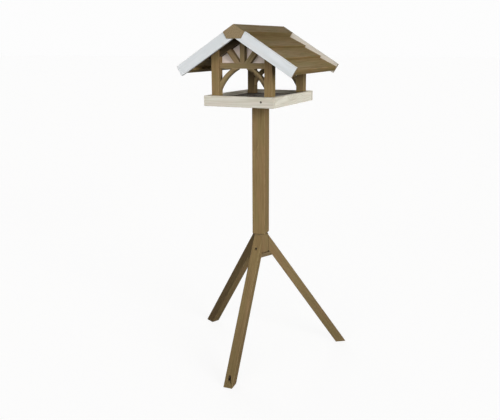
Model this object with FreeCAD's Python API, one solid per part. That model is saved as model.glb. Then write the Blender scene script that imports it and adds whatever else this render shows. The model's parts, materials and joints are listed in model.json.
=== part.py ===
import FreeCAD, Part
import math
import os

# Bird feeder on a pole: a small pitched-roof house on a square pole that stands on three splayed legs.
# Millimetres, +Z up. The house is built round the pole's axis, with its front gable towards -Y, and the
# whole is then moved so that the origin is the middle of the footprint, on the ground.

Vector = FreeCAD.Vector
UP = Vector(0, 0, 1)
SIDES = {"left": -1, "right": 1}
GABLES = {"front": -1, "rear": 1}

# Tray
TRAY_WIDTH = 300.0
TRAY_DEPTH = 412.0
RIM_TOP = 1139.5
RIM_HEIGHT = 41.0
RIM_THICK = 16.0
FLOOR_TOP = 1125.0
FLOOR_THICK = 18.0
FLOOR_UNDER = FLOOR_TOP - FLOOR_THICK

# Posts and gable frames
POST = 32.0
POST_X = 114.6
POST_Y = 160.0
POST_INNER_X = POST_X - POST / 2
POST_INNER_Y = POST_Y - POST / 2
FRET_THICK = 22.0
TIE_LOW = 1242.5
TIE_HIGH = 1263.5
SPOKE_WIDTH = 20.0
SPOKE_ANGLE = 38.0
SPOKE_CENTRE_Z = 1236.0
BRACE_RADIUS = 173.0
BRACE_WIDTH = 16.0
BRACE_CENTRE_X = 57.4
BRACE_CENTRE_Z = 1084.7
BRACE_END_X = 20.0
PANEL_THICK = 6.0
PANEL_LOW = 1248.0
RAIL_THICK = 18.0
RAIL_HEIGHT = 22.0

# Roof: a place on a slope is its distance down the slope from the ridge line and its depth under that line
PITCH = math.radians(31.6)
RIDGE_Z = 1407.0
RIDGE_HALF_LENGTH = 236.5
RIDGE_SIDE = 52.8
RIDGE_DEPTH = 29.0
SLOPE_LENGTH = 299.0
BARGE_OUTER_Y = 234.0
BARGE_THICK = 12.0
BARGE_WIDTH = 42.0
BARGE_INNER_Y = BARGE_OUTER_Y - BARGE_THICK
BOARDS = 3
BOARD_THICK = 8.0
BOARD_DEPTH = 11.0
BOARD_LAP = 18.0
BOARD_STEP = (SLOPE_LENGTH - RIDGE_SIDE) / BOARDS
LAP_RISE = BOARD_THICK / BOARD_STEP
RAFTER_HIGH = BOARD_DEPTH + BOARD_THICK + LAP_RISE * (BOARD_STEP + BOARD_LAP)
RAFTER_LOW = 51.0
BEAM_FOOT_Z = RIDGE_Z - RIDGE_SIDE * math.sin(PITCH) - RIDGE_DEPTH * math.cos(PITCH)
VERGE_START = 58.0
VERGE_THICK = 18.0
VERGE_DEPTH = 10.0
EAVES_WIDTH = 24.0
EAVES_DROP = 3.0

# Pole and its stand, turned a little from the house
STAND_TURN = 5.5
POLE = 56.0
POLE_FOOT = 539.0
PLATE = 120.0
PLATE_THICK = 20.0
POLE_TOP = FLOOR_UNDER - PLATE_THICK
HUB_HALF = 30.0
HUB_FOOT = 458.0
SPREADER_THICK = 18.0
SPREADER_HALF = 37.0
SPREADER_FOOT = HUB_FOOT - SPREADER_THICK
LEG = 38.0
LEG_LEAN = math.radians(34.36)
LEG_SPREAD = 371.8
LEG_AZIMUTHS = {"front": 270.0, "right": 30.0, "left": 150.0}
PEG_HOLE_RADIUS = 5.0

# Fasteners
LEG_SCREW_Z = 483.7
LEG_SCREW_SEAT = 50.0
LEG_SCREW_TIP = 14.0
COUNTERBORE_RADIUS = 5.5
LEG_SCREW_RADIUS = 3.0
LEG_SCREW_HEAD_RADIUS = 5.0
LEG_SCREW_HEAD = 4.0
LEG_SCREW_RECESS = 2.0
WOOD_SCREW_RADIUS = 2.2
RIM_SCREW_X = 98.0
RIM_SCREW_Z = 1121.0
RIM_SCREW_LENGTH = 34.0
RIM_SCREW_RECESS = 1.2
POST_SCREW_LENGTH = 40.0
PLATE_SCREW_LENGTH = 30.0
PLATE_SCREW_OFFSET = 45.0
COACH_SCREW_RADIUS = 4.0
COACH_SCREW_LENGTH = 130.0
NAIL_RADIUS = 1.0
NAIL_HEAD_RADIUS = 2.5
NAIL_PROUD = 0.4
NAIL_LENGTH = 22.0
NAIL_UP_SLOPE = 60.0
NAIL_IN_Y = 155.0
BIG = 400.0

LEG_HALF_RADIAL = LEG / 2 / math.cos(LEG_LEAN)
LEG_SLOPE = math.tan(LEG_LEAN)


# Helpers

def box(low, high):
    return Part.makeBox(high[0] - low[0], high[1] - low[1], high[2] - low[2], Vector(*low))


def prism(outline, start, end):
    """A solid with this outline in X and Z, from y = start to y = end."""
    corners = [Vector(x, start, z) for x, z in outline]
    face = Part.Face(Part.makePolygon(corners + corners[:1]))
    return face.extrude(Vector(0, end - start, 0))


def flat_prism(outline, low, high):
    """A solid with this outline in X and Y, from z = low to z = high."""
    corners = [Vector(x, y, low) for x, y in outline]
    face = Part.Face(Part.makePolygon(corners + corners[:1]))
    return face.extrude(Vector(0, 0, high - low))


def turned(shape, degrees):
    copy = shape.copy()
    copy.rotate(Vector(0, 0, 0), UP, degrees)
    return copy


def slope_xz(side, along, depth):
    """The X and Z of a place on the left (-1) or right (1) slope."""
    x = along * math.cos(PITCH) - depth * math.sin(PITCH)
    z = RIDGE_Z - along * math.sin(PITCH) - depth * math.cos(PITCH)
    return (side * x, z)


def slope_prism(side, places, start, end):
    return prism([slope_xz(side, along, depth) for along, depth in places], start, end)


def gable_span(gable, outer, inner):
    """The two y values of a piece at a gable, lowest first."""
    return sorted((gable * outer, gable * inner))


def slope_z(x, depth):
    """The height of the plane at this depth under a slope."""
    return RIDGE_Z - depth / math.cos(PITCH) - abs(x) * math.tan(PITCH)


def beam_foot_x(depth):
    """Where the plane at this depth under a slope meets the level of the ridge beam's foot."""
    return (slope_z(0, depth) - BEAM_FOOT_Z) / math.tan(PITCH)


def aim(shape, place, direction):
    """Moves a shape made along -Z, with its head's top at the origin, to a place and a direction."""
    copy = shape.copy()
    turn = FreeCAD.Rotation(Vector(0, 0, -1), direction)
    copy.Placement = FreeCAD.Placement(place, turn)
    return copy


def countersunk_screw(shank_radius, length):
    head_radius = 2 * shank_radius
    head = Part.makeCone(shank_radius, head_radius, shank_radius, Vector(0, 0, -shank_radius))
    tip = 2 * shank_radius
    shank = Part.makeCylinder(shank_radius, length - tip - shank_radius, Vector(0, 0, tip - length))
    point = Part.makeCone(shank_radius / 4, shank_radius, tip, Vector(0, 0, -length))
    return head.fuse([shank, point]).removeSplitter()


def pan_screw(shank_radius, head_radius, head_height, length):
    """A cylinder head that stands above the seat, which is at the origin."""
    head = Part.makeCylinder(head_radius, head_height)
    shank = Part.makeCylinder(shank_radius, length, Vector(0, 0, -length))
    return head.fuse(shank).removeSplitter()


def cross_recess(radius, depth, top):
    """The cross cut in a screw's head, whose top is at this height."""
    half = radius / 5
    reach = radius * 0.6
    one = box((-reach, -half, top - depth), (reach, half, top))
    return one.fuse(turned(one, 90))


# Tray

def tray(nodes):
    half_width = TRAY_WIDTH / 2
    half_depth = TRAY_DEPTH / 2
    low = RIM_TOP - RIM_HEIGHT
    for name, gable in GABLES.items():
        start, end = gable_span(gable, half_depth, half_depth - RIM_THICK)
        nodes["tray_rim_" + name] = box((-half_width, start, low), (half_width, end, RIM_TOP))
    inner_x = half_width - RIM_THICK
    inner_y = half_depth - RIM_THICK
    for name, side in SIDES.items():
        start, end = sorted((side * half_width, side * inner_x))
        nodes["tray_rim_" + name] = box((start, -inner_y, low), (end, inner_y, RIM_TOP))
    nodes["tray_floor"] = box((-inner_x, -inner_y, FLOOR_UNDER), (inner_x, inner_y, FLOOR_TOP))


# Posts, rails and gable frames

def posts(nodes):
    """Four posts on the floor, with their tops cut to the roof's slope, and a rail along each side."""
    for gable_name, gable in GABLES.items():
        start, end = gable_span(gable, POST_Y + POST / 2, POST_INNER_Y)
        for side_name, side in SIDES.items():
            inner = side * POST_INNER_X
            outer = side * (POST_X + POST / 2)
            outline = [(inner, FLOOR_TOP), (outer, FLOOR_TOP),
                       (outer, slope_z(outer, RAFTER_HIGH)), (inner, slope_z(inner, RAFTER_HIGH))]
            nodes["post_" + gable_name + "_" + side_name] = prism(outline, start, end)
    high = slope_z(POST_X + POST / 2, RAFTER_HIGH)
    for name, side in SIDES.items():
        start, end = sorted((side * (POST_X + POST / 2), side * (POST_X + POST / 2 - RAIL_THICK)))
        low = high - RAIL_HEIGHT
        nodes["eaves_rail_" + name] = box((start, -POST_INNER_Y, low), (end, POST_INNER_Y, high))


def gable_field(half_width, low, start, end):
    """The space in a gable over a level line, under both rafters."""
    high = slope_z(half_width, RAFTER_LOW)
    outline = [(-half_width, low), (half_width, low), (half_width, high),
               (0, slope_z(0, RAFTER_LOW)), (-half_width, high)]
    return prism(outline, start, end)


def gable_panel(start, end):
    """A panel between the rails that reaches up to the roof boards and the ridge beam."""
    half_width = POST_X + POST / 2 - RAIL_THICK
    high = slope_z(half_width, RAFTER_HIGH)
    crown = beam_foot_x(RAFTER_HIGH)
    outline = [(-half_width, PANEL_LOW), (half_width, PANEL_LOW), (half_width, high),
               (crown, BEAM_FOOT_Z), (-crown, BEAM_FOOT_Z), (-half_width, high)]
    return prism(outline, start, end)


def spoke(side, start, end):
    angle = math.radians(SPOKE_ANGLE) * side
    along = (math.sin(angle), math.cos(angle))
    across = (math.cos(angle) * SPOKE_WIDTH / 2, -math.sin(angle) * SPOKE_WIDTH / 2)
    far = (BIG * along[0], SPOKE_CENTRE_Z + BIG * along[1])
    outline = [(across[0], SPOKE_CENTRE_Z + across[1]), (far[0] + across[0], far[1] + across[1]),
               (far[0] - across[0], far[1] - across[1]), (-across[0], SPOKE_CENTRE_Z - across[1])]
    return prism(outline, start, end).common(gable_field(POST_INNER_X, TIE_HIGH, start, end))


def brace(side, start, end):
    """A curved brace from a post up to the tie beam, cut off square near the middle."""
    centre = Vector(-side * BRACE_CENTRE_X, start, BRACE_CENTRE_Z)
    thick = end - start
    outer = Part.makeCylinder(BRACE_RADIUS + BRACE_WIDTH, thick, centre, Vector(0, 1, 0))
    inner = Part.makeCylinder(BRACE_RADIUS, thick, centre, Vector(0, 1, 0))
    low_x, high_x = sorted((side * BRACE_END_X, side * POST_INNER_X))
    room = box((low_x, start, BRACE_CENTRE_Z), (high_x, end, TIE_LOW))
    return outer.cut(inner).common(room)


def gables(nodes):
    """At each gable a tie beam, three spokes over it, two braces under it and a panel behind."""
    for name, gable in GABLES.items():
        start, end = gable_span(gable, POST_INNER_Y + FRET_THICK, POST_INNER_Y)
        nodes["tie_beam_" + name] = box((-POST_INNER_X, start, TIE_LOW), (POST_INNER_X, end, TIE_HIGH))
        nodes["king_spoke_" + name] = spoke(0, start, end)
        for side_name, side in SIDES.items():
            nodes["spoke_" + name + "_" + side_name] = spoke(side, start, end)
            nodes["brace_" + name + "_" + side_name] = brace(side, start, end)
        start, end = gable_span(gable, POST_INNER_Y, POST_INNER_Y - PANEL_THICK)
        nodes["gable_panel_" + name] = gable_panel(start, end)


# Roof

def ridge_beam():
    """A five-sided beam whose top follows both slopes and whose sides are square to them."""
    outline = [(0, RIDGE_Z), slope_xz(1, RIDGE_SIDE, 0), slope_xz(1, RIDGE_SIDE, RIDGE_DEPTH),
               slope_xz(-1, RIDGE_SIDE, RIDGE_DEPTH), slope_xz(-1, RIDGE_SIDE, 0)]
    return prism(outline, -RIDGE_HALF_LENGTH, RIDGE_HALF_LENGTH)


def board_top(number, along):
    """How deep the top of a board lies: it rises towards the ridge less than the slope does."""
    lower_end = RIDGE_SIDE + (number + 1) * BOARD_STEP
    return BOARD_DEPTH + LAP_RISE * (lower_end - along)


def roof_board(side, number):
    upper = RIDGE_SIDE + number * BOARD_STEP - (BOARD_LAP if number else 0)
    lower = RIDGE_SIDE + (number + 1) * BOARD_STEP
    upper_top = board_top(number, upper)
    lower_top = board_top(number, lower)
    places = [(upper, upper_top), (lower, lower_top),
              (lower, lower_top + BOARD_THICK), (upper, upper_top + BOARD_THICK)]
    return slope_prism(side, places, -BARGE_INNER_Y, BARGE_INNER_Y)


def rafter(side, start, end):
    """A rafter from a post's inner side up to its pair, under the ridge beam."""
    foot = side * POST_INNER_X
    outline = [(0, BEAM_FOOT_Z), (side * beam_foot_x(RAFTER_HIGH), BEAM_FOOT_Z),
               (foot, slope_z(foot, RAFTER_HIGH)), (foot, slope_z(foot, RAFTER_LOW)),
               (0, slope_z(0, RAFTER_LOW))]
    return prism(outline, start, end)


def bargeboard(side, start, end):
    """A board over the roof's edge that butts the ridge beam's side and reaches a little under it."""
    outline = [slope_xz(side, RIDGE_SIDE, 0), slope_xz(side, SLOPE_LENGTH, 0),
               slope_xz(side, SLOPE_LENGTH, BARGE_WIDTH), (side * beam_foot_x(BARGE_WIDTH), BEAM_FOOT_Z),
               slope_xz(side, RIDGE_SIDE, RIDGE_DEPTH)]
    return prism(outline, start, end)


def eaves_batten(side):
    """The strip that tilts the lowest board: it fills the space under it and hangs a little lower."""
    upper = SLOPE_LENGTH - EAVES_WIDTH
    last = BOARDS - 1
    foot = RAFTER_HIGH + EAVES_DROP
    places = [(upper, board_top(last, upper) + BOARD_THICK), (SLOPE_LENGTH, BOARD_DEPTH + BOARD_THICK),
              (SLOPE_LENGTH, foot), (upper, foot)]
    return slope_prism(side, places, -BARGE_INNER_Y, BARGE_INNER_Y)


def roof(nodes):
    nodes["ridge_beam"] = ridge_beam()
    for side_name, side in SIDES.items():
        for number in range(BOARDS):
            nodes["roof_board_" + side_name + "_" + str(number + 1)] = roof_board(side, number)
        nodes["eaves_batten_" + side_name] = eaves_batten(side)
        for gable_name, gable in GABLES.items():
            ending = gable_name + "_" + side_name
            start, end = gable_span(gable, POST_INNER_Y + FRET_THICK, POST_INNER_Y)
            nodes["rafter_" + ending] = rafter(side, start, end)
            start, end = gable_span(gable, BARGE_OUTER_Y, BARGE_INNER_Y)
            nodes["bargeboard_" + ending] = bargeboard(side, start, end)
            start, end = gable_span(gable, BARGE_INNER_Y, BARGE_INNER_Y - VERGE_THICK)
            verge_end = SLOPE_LENGTH - EAVES_WIDTH
            verge_low = RAFTER_HIGH + VERGE_DEPTH
            places = [(VERGE_START, RAFTER_HIGH), (verge_end, RAFTER_HIGH),
                      (verge_end, verge_low), (VERGE_START, verge_low)]
            nodes["verge_batten_" + ending] = slope_prism(side, places, start, end)


# Pole and stand

def leg_radius(z, outer):
    """How far from the axis a leg's outer (1) or inner (-1) face is at a height."""
    return LEG_SPREAD + outer * LEG_HALF_RADIAL - LEG_SLOPE * z


def leg():
    """A leg that leans in along +X: level at its foot, upright where it meets the hub, with a peg hole."""
    tops = [(leg_radius(0, outer) - HUB_HALF) / LEG_SLOPE for outer in (-1, 1)]
    outline = [(leg_radius(0, -1), 0), (leg_radius(0, 1), 0), (HUB_HALF, tops[1]), (HUB_HALF, tops[0])]
    bar = prism(outline, -LEG / 2, LEG / 2)
    peg_hole = Part.makeCylinder(PEG_HOLE_RADIUS, BIG, Vector(LEG_SPREAD, 0, -1))
    seat = Vector(LEG_SCREW_SEAT, 0, LEG_SCREW_Z)
    counterbore = Part.makeCylinder(COUNTERBORE_RADIUS, BIG, seat, Vector(1, 0, 0))
    return bar.cut([peg_hole, counterbore])


def regular_outline(sides, inner_radius, first_corner):
    radius = inner_radius / math.cos(math.pi / sides)
    angles = [math.radians(first_corner + 360 / sides * corner) for corner in range(sides)]
    return [(radius * math.cos(a), radius * math.sin(a)) for a in angles]


def spreader_plate():
    """A three-cornered plate under the hub, with its corners cut to the legs' inner faces."""
    plate = flat_prism(regular_outline(3, SPREADER_HALF, 0), SPREADER_FOOT, HUB_FOOT)
    low = SPREADER_FOOT - 1
    high = HUB_FOOT + 1
    outline = [(leg_radius(low, -1), low), (BIG, low), (BIG, high), (leg_radius(high, -1), high)]
    beyond = prism(outline, -BIG, BIG)
    return plate.cut([turned(beyond, 120 * number) for number in range(3)])


def stand(nodes):
    turn = STAND_TURN
    half = POLE / 2
    nodes["pole"] = turned(box((-half, -half, POLE_FOOT), (half, half, POLE_TOP)), turn)
    half = PLATE / 2
    nodes["pole_plate"] = box((-half, -half, POLE_TOP), (half, half, FLOOR_UNDER))
    first = LEG_AZIMUTHS["right"]
    hub = flat_prism(regular_outline(6, HUB_HALF, 30), HUB_FOOT, POLE_FOOT)
    nodes["hub_block"] = turned(hub, first + turn)
    nodes["spreader_plate"] = turned(spreader_plate(), first + turn)
    for name, azimuth in LEG_AZIMUTHS.items():
        nodes["leg_" + name] = turned(leg(), azimuth + turn)


# Fasteners: each group is cut out of the pieces that it holds, and then added

def drive(nodes, name, fasteners, held, recess=None):
    for node in held:
        nodes[node] = nodes[node].cut(fasteners)
    if recess:
        fasteners = [fastener.cut(cut) for fastener, cut in zip(fasteners, recess)]
    nodes[name] = Part.makeCompound(fasteners)


def leg_screws(nodes):
    length = LEG_SCREW_SEAT - LEG_SCREW_TIP
    screw = pan_screw(LEG_SCREW_RADIUS, LEG_SCREW_HEAD_RADIUS, LEG_SCREW_HEAD, length)
    recess = cross_recess(LEG_SCREW_HEAD_RADIUS, LEG_SCREW_RECESS, LEG_SCREW_HEAD)
    screws = []
    recesses = []
    for azimuth in LEG_AZIMUTHS.values():
        for shape, group in ((screw, screws), (recess, recesses)):
            placed = aim(shape, Vector(LEG_SCREW_SEAT, 0, LEG_SCREW_Z), Vector(-1, 0, 0))
            group.append(turned(placed, azimuth + STAND_TURN))
    held = ["leg_" + name for name in LEG_AZIMUTHS] + ["hub_block"]
    drive(nodes, "leg_screws", screws, held, recesses)


def rim_screws(nodes):
    screw = countersunk_screw(WOOD_SCREW_RADIUS, RIM_SCREW_LENGTH)
    recess = cross_recess(2 * WOOD_SCREW_RADIUS, RIM_SCREW_RECESS, 0)
    places = [(RIM_SCREW_X, -1, "tray_rim_front"), (-RIM_SCREW_X, 1, "tray_rim_rear")]
    screws = []
    recesses = []
    for x, gable, _ in places:
        place = Vector(x, gable * TRAY_DEPTH / 2, RIM_SCREW_Z)
        screws.append(aim(screw, place, Vector(0, -gable, 0)))
        recesses.append(aim(recess, place, Vector(0, -gable, 0)))
    drive(nodes, "rim_screws", screws, [place[2] for place in places] + ["tray_floor"], recesses)


def post_screws(nodes):
    screw = countersunk_screw(WOOD_SCREW_RADIUS, POST_SCREW_LENGTH)
    screws = [aim(screw, Vector(side * POST_X, gable * POST_Y, FLOOR_UNDER), UP)
              for gable in GABLES.values() for side in SIDES.values()]
    held = ["post_" + gable + "_" + side for gable in GABLES for side in SIDES]
    drive(nodes, "post_screws", screws, held + ["tray_floor"])


def plate_screws(nodes):
    screw = countersunk_screw(WOOD_SCREW_RADIUS, PLATE_SCREW_LENGTH)
    screws = [aim(screw, Vector(x, y, POLE_TOP), UP)
              for x in (-PLATE_SCREW_OFFSET, PLATE_SCREW_OFFSET)
              for y in (-PLATE_SCREW_OFFSET, PLATE_SCREW_OFFSET)]
    drive(nodes, "plate_screws", screws, ["pole_plate", "tray_floor"])


def coach_screws(nodes):
    """One long screw down through the plate into the pole, and one up through the spreader and hub."""
    screw = countersunk_screw(COACH_SCREW_RADIUS, COACH_SCREW_LENGTH)
    screws = [aim(screw, Vector(0, 0, FLOOR_UNDER), -UP), aim(screw, Vector(0, 0, SPREADER_FOOT), UP)]
    drive(nodes, "coach_screws", screws, ["pole_plate", "pole", "hub_block", "spreader_plate"])


def roof_nails(nodes):
    """Nails down into the verge battens, and into the rafters and posts where a board crosses them."""
    nail = pan_screw(NAIL_RADIUS, NAIL_HEAD_RADIUS, NAIL_PROUD, NAIL_LENGTH)
    verge_y = BARGE_INNER_Y - VERGE_THICK / 2
    nails = []
    held = []
    for side_name, side in SIDES.items():
        into_roof = Vector(-side * math.sin(PITCH), 0, -math.cos(PITCH))
        for number in range(BOARDS):
            along = RIDGE_SIDE + (number + 1) * BOARD_STEP - NAIL_UP_SLOPE
            x, z = slope_xz(side, along, board_top(number, along))
            over_frame = x * side < POST_X + POST / 2
            for y in (verge_y, NAIL_IN_Y) if over_frame else (verge_y,):
                nails += [aim(nail, Vector(x, gable * y, z), into_roof) for gable in GABLES.values()]
            held.append("roof_board_" + side_name + "_" + str(number + 1))
        for gable in GABLES:
            held += [kind + gable + "_" + side_name for kind in ("rafter_", "verge_batten_", "post_")]
    drive(nodes, "roof_nails", nails, held)


def main():
    nodes = {}
    tray(nodes)
    posts(nodes)
    gables(nodes)
    roof(nodes)
    stand(nodes)
    leg_screws(nodes)
    rim_screws(nodes)
    post_screws(nodes)
    plate_screws(nodes)
    coach_screws(nodes)
    roof_nails(nodes)
    room = Part.makeCompound(list(nodes.values())).BoundBox
    to_origin = Vector(-room.Center.x, -room.Center.y, -room.ZMin)
    os.makedirs("parts", exist_ok=True)
    for name, shape in nodes.items():
        shape.translate(to_origin)
        for solid in shape.Solids:
            if not solid.isValid() or not solid.isClosed():
                raise ValueError(name + " is not a closed, valid solid")
        shape.exportStep("parts/" + name + ".step")
        print(name, len(shape.Solids), round(shape.Volume))
    print("nodes", len(nodes), "moved by", to_origin)


main()
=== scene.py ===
import json
import math
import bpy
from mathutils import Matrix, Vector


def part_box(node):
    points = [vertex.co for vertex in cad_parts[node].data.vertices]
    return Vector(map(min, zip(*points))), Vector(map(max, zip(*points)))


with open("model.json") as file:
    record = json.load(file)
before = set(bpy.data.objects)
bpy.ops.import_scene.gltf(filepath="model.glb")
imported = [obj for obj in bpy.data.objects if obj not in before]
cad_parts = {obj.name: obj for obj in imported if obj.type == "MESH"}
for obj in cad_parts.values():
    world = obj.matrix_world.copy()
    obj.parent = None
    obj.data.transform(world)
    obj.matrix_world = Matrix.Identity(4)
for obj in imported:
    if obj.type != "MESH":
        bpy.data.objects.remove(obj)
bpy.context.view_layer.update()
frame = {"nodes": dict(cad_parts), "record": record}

import zlib

import bpy
from mathutils import Matrix, Vector

NODES = frame["nodes"]
MOUNTS = frame["record"]["mounts"]

# The ground-peg hole in each leg's foot, by the leg's name
PEG_HOLES = {mount["name"].replace("peg_hole", "leg"): mount for mount in MOUNTS
             if mount["name"].startswith("peg_hole")}

# Directions that pieces of the house and stand run in
X = Vector((1, 0, 0))
Y = Vector((0, 1, 0))
Z = Vector((0, 0, 1))
ROOF_PITCH = math.radians(31.6)      # below level
SPOKE_ANGLE = math.radians(38)       # from upright, outwards
BRACE_ANGLE = math.radians(48)       # from upright, inwards
LEG_LEAN = math.radians(34.36)       # from upright
STAND_TURN = math.radians(5.5)       # pole and stand, turned from the house

# Camera, aimed from the pole's axis
CAMERA_AZIMUTH = math.radians(26.32)
CAMERA_TILT = math.radians(14.63)
CAMERA_ROLL = math.radians(-0.32)
CAMERA_DISTANCE = 2.756
CAMERA_AIM_HEIGHT = 0.641
CAMERA_AIM_SIDE = -0.0465
CAMERA_REACH = 200
LENS = 45.99
SENSOR = 36.0

# Light: the backdrop and the floor as the camera sees them, and as they light the object
WHITE = (1, 1, 1, 1)
BACKDROP = 0.98
SKY_COLOUR = (0.98, 0.98, 1.0, 1)
SKY_LIGHT = 0.16
FLOOR_HALF = 60.0                    # half its size, in metres
FLOOR_GLOW = 1.08
FLOOR_GLOW_SHARE = 0.80
FLOOR_PALE = (0.9, 0.9, 0.9, 1)
FLOOR_DIM = (0.25, 0.25, 0.25, 1)
LAMP_COLOUR = (1.0, 0.985, 0.96)

# Each lamp's name, the direction it shines from, its strength, and its width in degrees
LAMPS = (("key", (0.88, -0.46, 0.10), 4.05, 38),
         ("front", (0.05, -0.99, 0.11), 1.95, 60),
         ("back", (-0.62, 0.78, 0.05), 2.8, 60),
         ("top", (0.0, 0.1, 1.0), 0.14, 80))

# Surfaces, in metres
KNOT_CELLS = 8.0                     # to a metre, each with one knot
KNOT_CORE = 0.0045                   # a knot fades between these two radii
KNOT_EDGE = 0.0085
KNOT_REACH = 0.045                   # how far round a knot the rings swell
KNOT_SWELL = 0.011
RING_WIDTH = 0.0036
RING_WANDER = 0.030                  # how far the rings' middle strays
PITH_DISTANCE = 0.06
WEAR_LEAST = 0.0004                  # how far from an edge the wear reaches
WEAR_MOST = 0.0036
TIMBER_RELIEF = 0.0007               # depth of the grain
PAINT_RELIEF = 0.0005
TRAY_RELIEF = 0.0008
STEEL_RELIEF = 0.0002
PEG_SHADE_INNER = 0.0052             # painted shade on the peg holes' walls, fading round their mouths, from their middles
PEG_SHADE_OUTER = 0.0066
LEG_DARK_TOP = 0.42                      # the legs darken from here down
LEG_DARK_FULL = 0.05
HUSKS = 210.0                        # cells of dirt and husks to a metre of the tray

# Surfaces, as plain numbers
GRAIN_BUMP = 0.6
CRACK_DEPTH = 1.6
WOOD_SHEEN = 0.3
TRAY_ROUGHNESS = 0.85
STEEL_BUMP = 0.3
SEEDS = 9973                         # different seeds that names can have

# Rounding of the long sharp edges
WELD_GAP = 0.00002
ARRIS_WIDTH = 0.0012
POLE_ARRIS_WIDTH = 0.0045
ARRIS_SEGMENTS = 3
FLAT_FACE_WEIGHT = 100
ARRIS_LENGTH = 0.004
ARRIS_ANGLE = math.radians(35)

# Colours as they look on a screen, 0 to 255
BROWN = {"early": (141, 119, 81), "late": (113, 93, 58), "red": (139, 108, 76), "olive": (121, 110, 66),
         "dark": (82, 66, 38), "end": (150, 130, 98), "worn": (158, 139, 104)}
FRET_BROWN = {key: (red, green + 3, blue + 8) for key, (red, green, blue) in BROWN.items()}
ROOF = {"early": (132, 114, 73), "late": (104, 86, 50), "red": (136, 106, 70), "olive": (114, 104, 58),
        "dark": (74, 60, 35), "end": (200, 178, 142), "worn": (146, 127, 92)}
# peg_shade is the painted shade in the peg holes
TIMBER_MARKS = {"crack": (42, 33, 20), "peg_shade": (46, 32, 15)}
WHITE_PAINT = {"clean": (225, 229, 234), "thin": (214, 220, 224)}
# The rear bargeboards' paint is darker and creamier than the front ones'
REAR_PAINT = {"clean": (206, 200, 190), "thin": (192, 188, 178)}
# The gable panels' paint is lighter and pinker than the bargeboards': painted light on the panels under the
# roof
LIT_PANEL_PAINT = {"clean": (244, 228, 220), "thin": (232, 220, 212)}
PAINT_MARKS = {"ring": (186, 184, 176), "brush": (200, 204, 206), "knot": (196, 188, 168),
               "worn": (186, 178, 160), "crack": (150, 144, 132),
               "bare": (132, 114, 82), "bare_ring": (104, 87, 58)}
CREAM_WASH = {"clean": (219, 217, 207), "thin": (208, 206, 195), "warm": (217, 208, 199)}
# The right rim's wash is lighter than the others': painted light on the side that faces the key lamp
LIT_WASH = {"clean": (232, 230, 219), "thin": (222, 220, 208), "warm": (228, 218, 208)}
# shade_and_grime darkens the rims' inner faces: painted shade and grime
WASH_MARKS = {"ring": (176, 166, 140), "streak": (174, 170, 156), "pore": (188, 182, 164),
              "knot": (128, 116, 92), "worn": (178, 162, 130), "crack": (104, 96, 80), "shade_and_grime": (96, 86, 70)}
TRAY = {"board": (118, 104, 88), "olive": (94, 90, 70), "ring": (62, 52, 42), "dirt": (46, 38, 32),
        "husk": (178, 166, 150), "moss": (86, 92, 56), "damp": (44, 33, 28)}
STEEL = {"zinc": (104, 98, 88), "bloom": (66, 52, 38)}

# How much lighter or darker each piece's colour is painted than its palette, by the start of its name:
# painted shade on the rafters, verge battens, eaves rails, rear posts, legs, hub, spreader, ridge beam and
# upper roof boards, and painted light on the gable frame, front posts and lowest roof boards. The others are
# 1
PAINTED_LIGHT_AND_SHADE = {"leg_front": 0.98, "leg_right": 0.9, "leg_left": 0.85,
          "post_rear_left": 0.82, "post_rear_right": 0.95, "post_front": 1.03,
          "roof_board_left_1": 0.95, "roof_board_right_1": 0.95,
          "roof_board_left_3": 1.07, "roof_board_right_3": 1.07,
          "ridge_beam": 0.88, "rafter": 0.6, "verge_batten": 0.6, "eaves_rail": 0.8,
          "tie_beam": 1.06, "king_spoke": 1.06, "spoke": 1.06, "brace": 1.06,
          "spreader_plate": 0.8, "hub_block": 0.9}


def pole_axis():
    low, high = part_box("pole")
    return (low[0] + high[0]) / 2, (low[1] + high[1]) / 2


AXIS_X, AXIS_Y = pole_axis()


# Camera, floor and light

def make_camera():
    across = Vector((math.cos(CAMERA_AZIMUTH), math.sin(CAMERA_AZIMUTH), 0))
    back = Vector((math.sin(CAMERA_AZIMUTH) * math.cos(CAMERA_TILT),
                   -math.cos(CAMERA_AZIMUTH) * math.cos(CAMERA_TILT), math.sin(CAMERA_TILT)))
    up = back.cross(across)
    right = across * math.cos(CAMERA_ROLL) + up * math.sin(CAMERA_ROLL)
    top = up * math.cos(CAMERA_ROLL) - across * math.sin(CAMERA_ROLL)
    aim = Vector((AXIS_X, AXIS_Y, CAMERA_AIM_HEIGHT)) + right * CAMERA_AIM_SIDE
    place = aim + back * CAMERA_DISTANCE
    data = bpy.data.cameras.new("camera")
    data.lens = LENS
    data.sensor_width = SENSOR
    data.clip_end = CAMERA_REACH
    camera = bpy.data.objects.new("camera", data)
    bpy.context.collection.objects.link(camera)
    turn = Matrix((right, top, back)).transposed().to_4x4()
    camera.matrix_world = Matrix.Translation(place) @ turn
    bpy.context.scene.camera = camera


def srgb(red, green, blue):
    """A colour given as it looks on a screen, 0 to 255, as Blender's linear colour."""
    def linear(value):
        value /= 255
        return value / 12.92 if value <= 0.04045 else ((value + 0.055) / 1.055) ** 2.4
    return (linear(red), linear(green), linear(blue), 1.0)


def tones(palette, shade=1.0):
    """A palette's colours, made lighter or darker by a shade, as Blender's linear colours."""
    return {key: srgb(*[channel * shade for channel in colour]) for key, colour in palette.items()}


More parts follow.
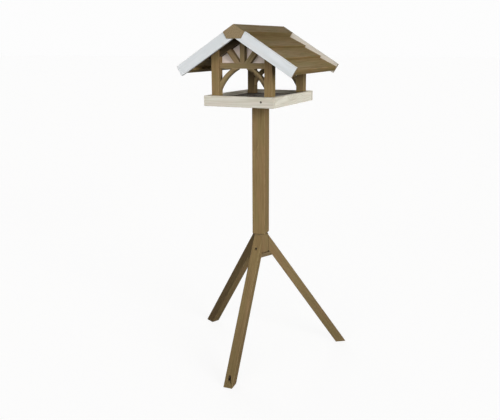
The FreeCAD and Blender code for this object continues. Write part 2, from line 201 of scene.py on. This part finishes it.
class Net:
    """Adds nodes to a node tree. A value can be a number, a vector or another node's output."""

    def __init__(self, tree):
        self.tree = tree

    def put(self, socket, value):
        if isinstance(value, bpy.types.NodeSocket):
            self.tree.links.new(value, socket)
        elif value is not None:
            socket.default_value = value

    def add(self, kind, inputs=None, **settings):
        node = self.tree.nodes.new(kind)
        for name, value in settings.items():
            setattr(node, name, value)
        for name, value in (inputs or {}).items():
            self.put(node.inputs[name], value)
        return node

    def math(self, operation, a, b=None):
        node = self.add("ShaderNodeMath", {0: a}, operation=operation)
        self.put(node.inputs[1], b)
        return node.outputs[0]

    def vector(self, operation, a, b=None):
        node = self.add("ShaderNodeVectorMath", {0: a}, operation=operation)
        self.put(node.inputs[1], b)
        return node.outputs["Value"] if operation in ("DOT_PRODUCT", "LENGTH") else node.outputs["Vector"]

    def ramp(self, value, low, high, to_low=0.0, to_high=1.0):
        """A smooth step from one number to another as the value goes from low to high."""
        inputs = {"Value": value, "From Min": low, "From Max": high, "To Min": to_low, "To Max": to_high}
        return self.add("ShaderNodeMapRange", inputs, interpolation_type="SMOOTHSTEP").outputs["Result"]

    def noise(self, place, stretch, detail=2.0, rough=0.5, colour=False):
        """Noise whose grains are about one over each number of the stretch long, in metres."""
        scaled = self.vector("MULTIPLY", place, stretch)
        inputs = {"Vector": scaled, "Scale": 1.0, "Detail": detail, "Roughness": rough}
        return self.add("ShaderNodeTexNoise", inputs).outputs["Color" if colour else "Fac"]

    def mix(self, amount, first, second):
        node = self.add("ShaderNodeMix", data_type="RGBA")
        self.put(node.inputs["Factor"], amount)
        self.put(node.inputs[6], first)
        self.put(node.inputs[7], second)
        return node.outputs[2]

    def lay(self, colour, mask, amount, over):
        """A colour with another laid over it, as strongly as the mask times the amount."""
        return self.mix(self.math("MULTIPLY", mask, amount), colour, over)


def make_light():
    scene = bpy.context.scene
    scene.view_settings.view_transform = "Standard"
    world = bpy.data.worlds.new("studio")
    scene.world = world
    world.use_nodes = True
    net = Net(world.node_tree)
    world.node_tree.nodes.clear()
    seen = net.add("ShaderNodeLightPath").outputs["Is Camera Ray"]
    lighting = net.add("ShaderNodeBackground", {"Color": SKY_COLOUR, "Strength": SKY_LIGHT})
    backdrop = net.add("ShaderNodeBackground", {"Color": WHITE, "Strength": BACKDROP})
    both = net.add("ShaderNodeMixShader", {0: seen, 1: lighting.outputs[0], 2: backdrop.outputs[0]})
    net.add("ShaderNodeOutputWorld", {"Surface": both.outputs[0]})
    for name, direction, strength, width in LAMPS:
        data = bpy.data.lights.new(name, "SUN")
        data.energy = strength
        data.angle = math.radians(width)
        data.color = LAMP_COLOUR
        lamp = bpy.data.objects.new(name, data)
        lamp.rotation_mode = "QUATERNION"
        lamp.rotation_quaternion = Vector(direction).to_track_quat("Z", "Y")
        bpy.context.collection.objects.link(lamp)


def make_floor():
    """A level floor: a white glow to the camera, and a dim grey to light."""
    half = FLOOR_HALF
    corners = [(-half, -half, 0), (half, -half, 0), (half, half, 0), (-half, half, 0)]
    mesh = bpy.data.meshes.new("floor")
    mesh.from_pydata(corners, [], [(0, 1, 2, 3)])
    floor = bpy.data.objects.new("floor", mesh)
    bpy.context.collection.objects.link(floor)
    material = bpy.data.materials.new("studio_floor")
    material.use_nodes = True
    net = Net(material.node_tree)
    material.node_tree.nodes.clear()
    seen = net.add("ShaderNodeLightPath").outputs["Is Camera Ray"]
    pale = net.add("ShaderNodeBsdfDiffuse", {"Color": FLOOR_PALE}).outputs[0]
    dim = net.add("ShaderNodeBsdfDiffuse", {"Color": FLOOR_DIM}).outputs[0]
    glow = net.add("ShaderNodeEmission", {"Color": WHITE, "Strength": FLOOR_GLOW}).outputs[0]
    lit = net.add("ShaderNodeMixShader", {0: FLOOR_GLOW_SHARE, 1: pale, 2: glow}).outputs[0]
    both = net.add("ShaderNodeMixShader", {0: seen, 1: dim, 2: lit}).outputs[0]
    net.add("ShaderNodeOutputMaterial", {"Surface": both})
    mesh.materials.append(material)


# Wood

def make_grain_group():
    """Solid softwood, in metres, with the grain along the first axis of Place."""
    group = bpy.data.node_groups.new("grain", "ShaderNodeTree")
    for name in ("Place", "Shift", "Pith"):
        group.interface.new_socket(name, in_out="INPUT", socket_type="NodeSocketVector")
    for name in ("Ring", "Fibre", "Streak", "Patch", "Tint", "Knot", "Crack"):
        group.interface.new_socket(name, in_out="OUTPUT", socket_type="NodeSocketFloat")
    net = Net(group)
    given = net.add("NodeGroupInput").outputs
    moved = net.vector("ADD", given["Place"], given["Shift"])

    # Knots: scattered points, and the rings swell round them
    cells = net.add("ShaderNodeTexVoronoi", {"Vector": moved, "Scale": KNOT_CELLS}, feature="F1")
    away = net.math("DIVIDE", cells.outputs["Distance"], KNOT_CELLS)
    knot = net.ramp(away, KNOT_EDGE, KNOT_CORE)
    swell = net.ramp(away, KNOT_REACH, 0.0, 0.0, KNOT_SWELL)

    # Growth rings round a pith beside the piece, wandering slowly along the grain
    wander = net.vector("SUBTRACT", net.noise(moved, (1.6, 9, 9), 2, colour=True), (0.5, 0.5, 0.5))
    bent = net.vector("ADD", given["Place"], net.vector("MULTIPLY", wander, (0.0, RING_WANDER, RING_WANDER)))
    flat = net.vector("MULTIPLY", net.vector("SUBTRACT", bent, given["Pith"]), (0, 1, 1))
    radius = net.math("ADD", net.vector("LENGTH", flat), swell)
    uneven = net.noise(moved, (4, 60, 60), 1)
    phase = net.math("FRACT", net.math("ADD", net.math("DIVIDE", radius, RING_WIDTH), uneven))
    rise = net.ramp(phase, 0.15, 0.86)
    fall = net.ramp(phase, 1.0, 0.90)
    ring = net.math("MULTIPLY", rise, fall)

    # Fibres, streaks and slow changes of colour
    fibre = net.noise(moved, (30, 1100, 1100), 3, 0.6)
    streak = net.noise(moved, (7, 190, 190), 3, 0.6)
    patch = net.ramp(net.noise(moved, (5, 22, 22), 3, 0.55), 0.34, 0.66)
    tint_place = net.vector("ADD", moved, (4.3, 1.9, 7.7))
    tint = net.ramp(net.noise(tint_place, (9, 34, 34), 3, 0.6), 0.36, 0.64)

    # Drying cracks: thin, long and rare
    ridge = net.math("ABSOLUTE", net.math("SUBTRACT", net.noise(moved, (1.4, 66, 66), 1), 0.5))
    rare = net.ramp(net.noise(net.vector("ADD", moved, (9.1, 3.3, 1.2)), (8, 20, 20), 1), 0.62, 0.70)
    crack = net.math("MULTIPLY", net.ramp(ridge, 0.007, 0.003), rare)
    net.add("NodeGroupOutput", {"Ring": ring, "Fibre": fibre, "Streak": streak, "Patch": patch, "Tint": tint,
                                "Knot": knot, "Crack": crack})
    return group


def make_wear_group():
    """1 at the edges of a box with these half sizes and 0 away from them, broken up by noise."""
    group = bpy.data.node_groups.new("wear", "ShaderNodeTree")
    for name in ("Place", "Half", "Shift"):
        group.interface.new_socket(name, in_out="INPUT", socket_type="NodeSocketVector")
    group.interface.new_socket("Edge", in_out="OUTPUT", socket_type="NodeSocketFloat")
    net = Net(group)
    given = net.add("NodeGroupInput").outputs

    # On a face of the box, the second smallest gap is the distance to the nearest edge
    gaps = net.vector("SUBTRACT", given["Half"], net.vector("ABSOLUTE", given["Place"]))
    parts = net.add("ShaderNodeSeparateXYZ", {0: gaps}).outputs
    low = net.math("MINIMUM", parts[0], parts[1])
    high = net.math("MAXIMUM", parts[0], parts[1])
    second = net.math("MAXIMUM", low, net.math("MINIMUM", high, parts[2]))
    rough = net.noise(net.vector("ADD", given["Place"], given["Shift"]), (60, 260, 260), 3, 0.65)
    reach = net.ramp(rough, 0.35, 0.75, WEAR_LEAST, WEAR_MOST)
    edge = net.ramp(net.math("DIVIDE", second, reach), 1.0, 0.3)
    net.add("NodeGroupOutput", {"Edge": edge})
    return group


GRAIN = make_grain_group()
WEAR = make_wear_group()


def local_frame(name, grain, face):
    """A node's own frame, with its first axis along the grain: its turn, its middle and its half sizes."""
    first = grain.normalized()
    third = (face - first * face.dot(first)).normalized()
    second = third.cross(first)
    turn = Matrix((first, second, third)).transposed()
    corners = [turn.transposed() @ vertex.co for vertex in NODES[name].data.vertices]
    low = Vector([min(corner[i] for corner in corners) for i in range(3)])
    high = Vector([max(corner[i] for corner in corners) for i in range(3)])
    return turn, turn @ ((low + high) / 2), (high - low) / 2


def seed_of(name):
    """A fixed number from 0 to 1 for a name."""
    return (zlib.crc32(name.encode()) % SEEDS) / SEEDS


def painted_light_and_shade_of(name):
    """The painted light and shade a piece's colour gets beside its palette: above 1 lighter, below 1 darker.
    """
    return next((shade for start, shade in PAINTED_LIGHT_AND_SHADE.items() if name.startswith(start)), 1.0)


class Wood:
    """A new material for one node, with the grain's masks in the node's own frame."""

    def __init__(self, name, grain, face):
        self.material = bpy.data.materials.new(name)
        self.material.use_nodes = True
        tree = self.material.node_tree
        self.net = Net(tree)
        self.shader = tree.nodes["Principled BSDF"]
        turn, middle, half = local_frame(name, grain, face)
        seed = seed_of(name)
        self.shift = (seed * 31, seed * 17 + 3, seed * 23 + 5)
        self.room = self.net.add("ShaderNodeTexCoord").outputs["Object"]
        mapping = self.net.add("ShaderNodeMapping", {"Vector": self.room, "Location": middle,
                                                     "Rotation": turn.to_euler()}, vector_type="TEXTURE")
        self.place = mapping.outputs[0]
        angle = seed * 2 * math.pi
        core = (0, PITH_DISTANCE * math.cos(angle), -abs(PITH_DISTANCE * math.sin(angle)) - half.z)
        self.grain = self.net.add("ShaderNodeGroup", node_tree=GRAIN)
        self.wear = self.net.add("ShaderNodeGroup", node_tree=WEAR)
        for group in (self.grain, self.wear):
            self.net.put(group.inputs["Place"], self.place)
            self.net.put(group.inputs["Shift"], self.shift)
        self.grain.inputs["Pith"].default_value = core
        self.wear.inputs["Half"].default_value = half
        self.normal = self.net.add("ShaderNodeNewGeometry").outputs["Normal"]
        along = self.net.math("ABSOLUTE", self.net.vector("DOT_PRODUCT", self.normal, grain.normalized()))
        self.end = self.net.ramp(along, 0.55, 0.75)

    def mask(self, name):
        return self.grain.outputs[name]

    def edge(self):
        return self.wear.outputs["Edge"]

    def moved(self):
        """The place in the node's own frame, shifted so that no two nodes look alike."""
        return self.net.vector("ADD", self.place, self.shift)

    def streaks(self, amount):
        return self.net.ramp(self.mask("Streak"), 0.45, 0.72, 0.0, amount)

    def facing(self, direction):
        """1 on faces that point in a direction of the room, 0 on the others."""
        return self.net.ramp(self.net.vector("DOT_PRODUCT", self.normal, direction), 0.6, 0.8)

    def relief(self, ring, fibre):
        """The height of the grain, with the rings and fibres raised this much and the cracks sunk."""
        net = self.net
        height = net.math("ADD", net.math("MULTIPLY", self.mask("Ring"), ring),
                          net.math("MULTIPLY", self.mask("Fibre"), fibre))
        return net.math("SUBTRACT", height, net.math("MULTIPLY", self.mask("Crack"), CRACK_DEPTH))

    def finish(self, colour, rough, height, depth):
        bump = self.net.add("ShaderNodeBump", {"Height": height, "Strength": GRAIN_BUMP, "Distance": depth})
        self.net.put(self.shader.inputs["Base Color"], colour)
        self.net.put(self.shader.inputs["Roughness"], rough)
        self.net.put(self.shader.inputs["Normal"], bump.outputs[0])
        self.net.put(self.shader.inputs["Specular IOR Level"], WOOD_SHEEN)
        return self.material


def shaded_peg_hole(wood, hole):
    """Painted shade on the wall of an upright hole, fading out in a thin dark ring round its mouth."""
    net = wood.net
    flat = net.vector("MULTIPLY", net.vector("SUBTRACT", wood.room, hole["pos_m"]), (1, 1, 0))
    return net.ramp(net.vector("LENGTH", flat), PEG_SHADE_OUTER, PEG_SHADE_INNER, 0.0, 0.95)


def stained_timber(name, grain, face, palette=BROWN):
    """Brown treated softwood: grain, knots, reddish and olive patches, worn edges and paler ends, each piece
    made lighter or darker with painted light and shade.
    """
    wood = Wood(name, grain, face)
    net = wood.net
    # The palette is lightened with painted light on some pieces and darkened with painted shade on others
    tone = tones(palette, painted_light_and_shade_of(name))
    marks = tones(TIMBER_MARKS)
    colour = net.lay(tone["early"], wood.mask("Ring"), 0.6, tone["late"])
    colour = net.lay(colour, wood.mask("Patch"), 0.55, tone["olive"])
    colour = net.lay(colour, wood.mask("Tint"), 0.45, tone["red"])
    colour = net.mix(wood.streaks(0.36), colour, tone["dark"])
    colour = net.mix(net.ramp(wood.mask("Fibre"), 0.35, 0.7, 0.0, 0.35), colour, tone["late"])
    ends = net.mix(wood.mask("Ring"), tone["end"], tone["late"])
    colour = net.lay(colour, wood.end, 0.85, ends)
    colour = net.lay(colour, wood.mask("Knot"), 0.8, tone["dark"])
    colour = net.lay(colour, wood.edge(), 0.5, tone["worn"])
    colour = net.lay(colour, wood.mask("Crack"), 0.6, marks["crack"])
    # On the legs: darker towards the foot, and painted shade on the peg hole's wall
    if name in PEG_HOLES:
        height = net.add("ShaderNodeSeparateXYZ", {0: wood.room}).outputs[2]
        colour = net.mix(net.ramp(height, LEG_DARK_TOP, LEG_DARK_FULL, 0.0, 0.38), colour, tone["dark"])
        colour = net.mix(shaded_peg_hole(wood, PEG_HOLES[name]), colour, marks["peg_shade"])
    rough = net.ramp(wood.mask("Streak"), 0.3, 0.7, 0.62, 0.85)
    return wood.finish(colour, rough, wood.relief(0.35, 0.5), TIMBER_RELIEF)


def painted_timber(name, grain, face, paint):
    """Opaque white paint over softwood, with faint grain, brush marks and bare brown end grain."""
    wood = Wood(name, grain, face)
    net = wood.net
    tone = tones(paint)
    marks = tones(PAINT_MARKS)
    brush = net.noise(wood.moved(), (14, 420, 420), 3, 0.55)
    colour = net.mix(wood.mask("Patch"), tone["clean"], tone["thin"])
    colour = net.lay(colour, wood.mask("Ring"), 0.16, marks["ring"])
    colour = net.mix(net.ramp(brush, 0.5, 0.8, 0.0, 0.25), colour, marks["brush"])
    colour = net.lay(colour, wood.mask("Knot"), 0.25, marks["knot"])
    colour = net.lay(colour, wood.edge(), 0.30, marks["worn"])
    colour = net.lay(colour, wood.mask("Crack"), 0.2, marks["crack"])
    bare = net.mix(wood.mask("Ring"), marks["bare"], marks["bare_ring"])
    colour = net.mix(wood.end, colour, bare)
    rough = net.ramp(brush, 0.3, 0.7, 0.45, 0.62)
    height = net.math("ADD", wood.relief(0.20, 0.12), net.math("MULTIPLY", brush, 0.4))
    return wood.finish(colour, rough, height, PAINT_RELIEF)


def inward_of(name):
    """Which way a tray rim's inner face points."""
    low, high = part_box(name)
    across = Vector((AXIS_X - (low[0] + high[0]) / 2, AXIS_Y - (low[1] + high[1]) / 2, 0))
    if abs(across.x) > abs(across.y):
        return X * math.copysign(1, across.x)
    return Y * math.copysign(1, across.y)


def washed_timber(name, grain, face, wash):
    """A thin cream wash that lets the grain and knots through, with painted shade and grime on the tray's
    inner side.
    """
    wood = Wood(name, grain, face)
    net = wood.net
    tone = tones(wash)
    marks = tones(WASH_MARKS)
    colour = net.mix(wood.mask("Patch"), tone["clean"], tone["thin"])
    colour = net.mix(net.ramp(wood.mask("Tint"), 0.2, 1.0, 0.0, 0.55), colour, tone["warm"])
    colour = net.lay(colour, wood.mask("Ring"), 0.34, marks["ring"])
    colour = net.mix(wood.streaks(0.40), colour, marks["streak"])
    colour = net.mix(net.ramp(wood.mask("Fibre"), 0.45, 0.75, 0.0, 0.35), colour, marks["pore"])
    colour = net.lay(colour, wood.mask("Knot"), 0.6, marks["knot"])
    colour = net.lay(colour, wood.edge(), 0.45, marks["worn"])
    colour = net.lay(colour, wood.mask("Crack"), 0.6, marks["crack"])
    # Painted shade and grime on the rim's inner face, patchy along the streaks
    shade_and_grime = net.ramp(wood.mask("Streak"), 0.3, 0.7, 0.35, 0.75)
    colour = net.lay(colour, wood.facing(inward_of(name)), shade_and_grime, marks["shade_and_grime"])
    rough = net.ramp(wood.mask("Streak"), 0.3, 0.7, 0.55, 0.75)
    return wood.finish(colour, rough, wood.relief(0.3, 0.35), TIMBER_RELIEF)


def tray_board(name):
    """The tray's floor: dark weathered board, with dirt, husks, algae and damp patches on top."""
    wood = Wood(name, Y, Z)
    net = wood.net
    tone = tones(TRAY)
    top = wood.facing(Z)
    moved = wood.moved()
    colour = net.mix(wood.mask("Patch"), tone["board"], tone["olive"])
    colour = net.lay(colour, wood.mask("Ring"), 0.6, tone["ring"])

    # Dirt and husks: warped cells, some of them chosen as dark and some as pale
    bent = net.vector("MULTIPLY", net.noise(moved, (90, 90, 90), 2, colour=True), (0.03, 0.03, 0.03))
    husks = net.vector("MULTIPLY", net.vector("ADD", moved, bent), (1.0, 0.6, 1.0))
    specks = net.add("ShaderNodeTexVoronoi", {"Vector": husks, "Scale": HUSKS}, feature="F1").outputs
    chosen = net.add("ShaderNodeSeparateColor", {0: specks["Color"]}).outputs[0]
    dark = net.math("MULTIPLY", net.ramp(specks["Distance"], 0.42, 0.25), net.ramp(chosen, 0.45, 0.5))
    pale = net.math("MULTIPLY", net.ramp(specks["Distance"], 0.38, 0.22), net.ramp(chosen, 0.30, 0.25))
    dark = net.math("MULTIPLY", dark, top)
    pale = net.math("MULTIPLY", pale, top)
    colour = net.lay(colour, dark, 0.8, tone["dirt"])
    colour = net.lay(colour, pale, 0.6, tone["husk"])

    # Algae and damp
    moss = net.ramp(net.noise(moved, (40, 40, 40), 4, 0.6), 0.55, 0.68, 0.0, 0.6)
    colour = net.lay(colour, moss, top, tone["moss"])
    damp_place = net.vector("ADD", moved, (2.7, 8.1, 4.4))
    damp = net.ramp(net.noise(damp_place, (26, 26, 26), 4, 0.62), 0.44, 0.58, 0.0, 0.85)
    colour = net.lay(colour, damp, top, tone["damp"])
    height = net.math("ADD", wood.relief(0.35, 0.5), net.math("MULTIPLY", net.math("ADD", dark, pale), 0.5))
    return wood.finish(colour, TRAY_ROUGHNESS, height, TRAY_RELIEF)


def weathered_steel(name):
    """Dull zinc with a brown bloom and fine scratches."""
    material = bpy.data.materials.new(name)
    material.use_nodes = True
    net = Net(material.node_tree)
    shader = material.node_tree.nodes["Principled BSDF"]
    tone = tones(STEEL)
    place = net.add("ShaderNodeTexCoord").outputs["Object"]
    bloom = net.ramp(net.noise(place, (420, 420, 420), 4, 0.65), 0.42, 0.62)
    fine = net.noise(place, (2400, 2400, 2400), 2)
    bump = net.add("ShaderNodeBump", {"Height": fine, "Strength": STEEL_BUMP, "Distance": STEEL_RELIEF})
    net.put(shader.inputs["Base Color"], net.mix(bloom, tone["zinc"], tone["bloom"]))
    net.put(shader.inputs["Metallic"], net.ramp(bloom, 0.0, 1.0, 0.85, 0.15))
    net.put(shader.inputs["Roughness"], net.ramp(bloom, 0.0, 1.0, 0.42, 0.8))
    net.put(shader.inputs["Normal"], bump.outputs[0])
    return material


# Which way each piece's grain runs, and its finish

def slope_along(name):
    """Down a roof slope."""
    side = -1 if name.endswith("left") else 1
    return Vector((side * math.cos(ROOF_PITCH), 0, -math.sin(ROOF_PITCH)))


def gable_along(name, angle):
    """Up a spoke or brace that stands at an angle from upright, outwards on its own side."""
    side = -1 if name.endswith("left") else 1
    return Vector((side * math.sin(angle), 0, math.cos(angle)))


def leg_along(name):
    """Up a leg, from its foot to the hub."""
    x, y = PEG_HOLES[name]["pos_m"][:2]
    outward = Vector((x - AXIS_X, y - AXIS_Y, 0)).normalized()
    return Z * math.cos(LEG_LEAN) - outward * math.sin(LEG_LEAN)


def is_fastener(name):
    return name.endswith(("screws", "nails"))


def make_material(name):
    turned = Matrix.Rotation(STAND_TURN, 3, "Z")
    if is_fastener(name):
        return weathered_steel(name)
    if name.startswith("bargeboard"):
        return painted_timber(name, slope_along(name), Y, REAR_PAINT if "rear" in name else WHITE_PAINT)
    if name.startswith("gable_panel"):
        # The gable panels' lighter paint is painted light
        return painted_timber(name, X, Y, LIT_PANEL_PAINT)
    if name in ("tray_rim_front", "tray_rim_rear"):
        return washed_timber(name, X, Y, CREAM_WASH)
    if name.startswith("tray_rim"):
        # The right rim's lighter wash is painted light
        return washed_timber(name, Y, X, LIT_WASH if name.endswith("right") else CREAM_WASH)
    if name == "tray_floor":
        return tray_board(name)
    if name.startswith(("roof_board", "eaves_batten", "ridge_beam")):
        return stained_timber(name, Y, Z, ROOF)
    if name.startswith(("rafter", "verge_batten")):
        return stained_timber(name, slope_along(name), Y)
    if name.startswith("post"):
        return stained_timber(name, Z, Y)
    if name.startswith("eaves_rail"):
        return stained_timber(name, Y, X)
    if name.startswith("tie_beam"):
        return stained_timber(name, X, Y, FRET_BROWN)
    if name.startswith("king_spoke"):
        return stained_timber(name, Z, Y, FRET_BROWN)
    if name.startswith("spoke"):
        return stained_timber(name, gable_along(name, SPOKE_ANGLE), Y, FRET_BROWN)
    if name.startswith("brace"):
        return stained_timber(name, gable_along(name, -BRACE_ANGLE), Y, FRET_BROWN)
    if name.startswith("leg"):
        along = leg_along(name)
        return stained_timber(name, along, Z.cross(along).normalized())
    if name in ("pole", "hub_block"):
        return stained_timber(name, Z, turned @ Y)
    if name == "spreader_plate":
        return stained_timber(name, turned @ X, Z)
    # The one piece left is pole_plate
    return stained_timber(name, X, Z)


def make_arris_group():
    """Marks the long sharp edges of a mesh for rounding, and leaves out the short ones round small holes."""
    group = bpy.data.node_groups.new("arris_weight", "GeometryNodeTree")
    group.interface.new_socket("Geometry", in_out="INPUT", socket_type="NodeSocketGeometry")
    group.interface.new_socket("Geometry", in_out="OUTPUT", socket_type="NodeSocketGeometry")
    net = Net(group)
    shape = net.add("NodeGroupInput").outputs[0]
    ends = net.add("GeometryNodeInputMeshEdgeVertices").outputs
    length = net.vector("LENGTH", net.vector("SUBTRACT", ends["Position 1"], ends["Position 2"]))
    angle = net.add("GeometryNodeInputMeshEdgeAngle").outputs["Unsigned Angle"]
    chosen = net.math("MULTIPLY", net.math("GREATER_THAN", length, ARRIS_LENGTH),
                      net.math("GREATER_THAN", angle, ARRIS_ANGLE))
    marked = net.add("GeometryNodeStoreNamedAttribute", data_type="FLOAT", domain="EDGE")
    net.put(marked.inputs["Geometry"], shape)
    net.put(marked.inputs["Name"], "bevel_weight_edge")
    net.put(marked.inputs["Value"], chosen)
    net.add("NodeGroupOutput", {0: marked.outputs[0]})
    return group


ARRIS_MARKS = make_arris_group()


def soften(node, width):
    """Joins a node's faces, rounds its edges a little and keeps its flat faces flat."""
    weld = node.modifiers.new("weld", "WELD")
    weld.merge_threshold = WELD_GAP
    marks = node.modifiers.new("marks", "NODES")
    marks.node_group = ARRIS_MARKS
    bevel = node.modifiers.new("arris", "BEVEL")
    bevel.width = width
    bevel.segments = ARRIS_SEGMENTS
    bevel.limit_method = "WEIGHT"
    bevel.use_clamp_overlap = False
    normals = node.modifiers.new("normals", "WEIGHTED_NORMAL")
    normals.keep_sharp = False
    normals.weight = FLAT_FACE_WEIGHT


def dress(name, node):
    """Gives a node its material, and rounds its edges unless it is a fastener."""
    node.data.materials.clear()
    node.data.materials.append(make_material(name))
    if not is_fastener(name):
        soften(node, POLE_ARRIS_WIDTH if name == "pole" else ARRIS_WIDTH)


make_camera()
make_light()
make_floor()
for node_name, node_object in NODES.items():
    dress(node_name, node_object)

bpy.context.view_layer.update()
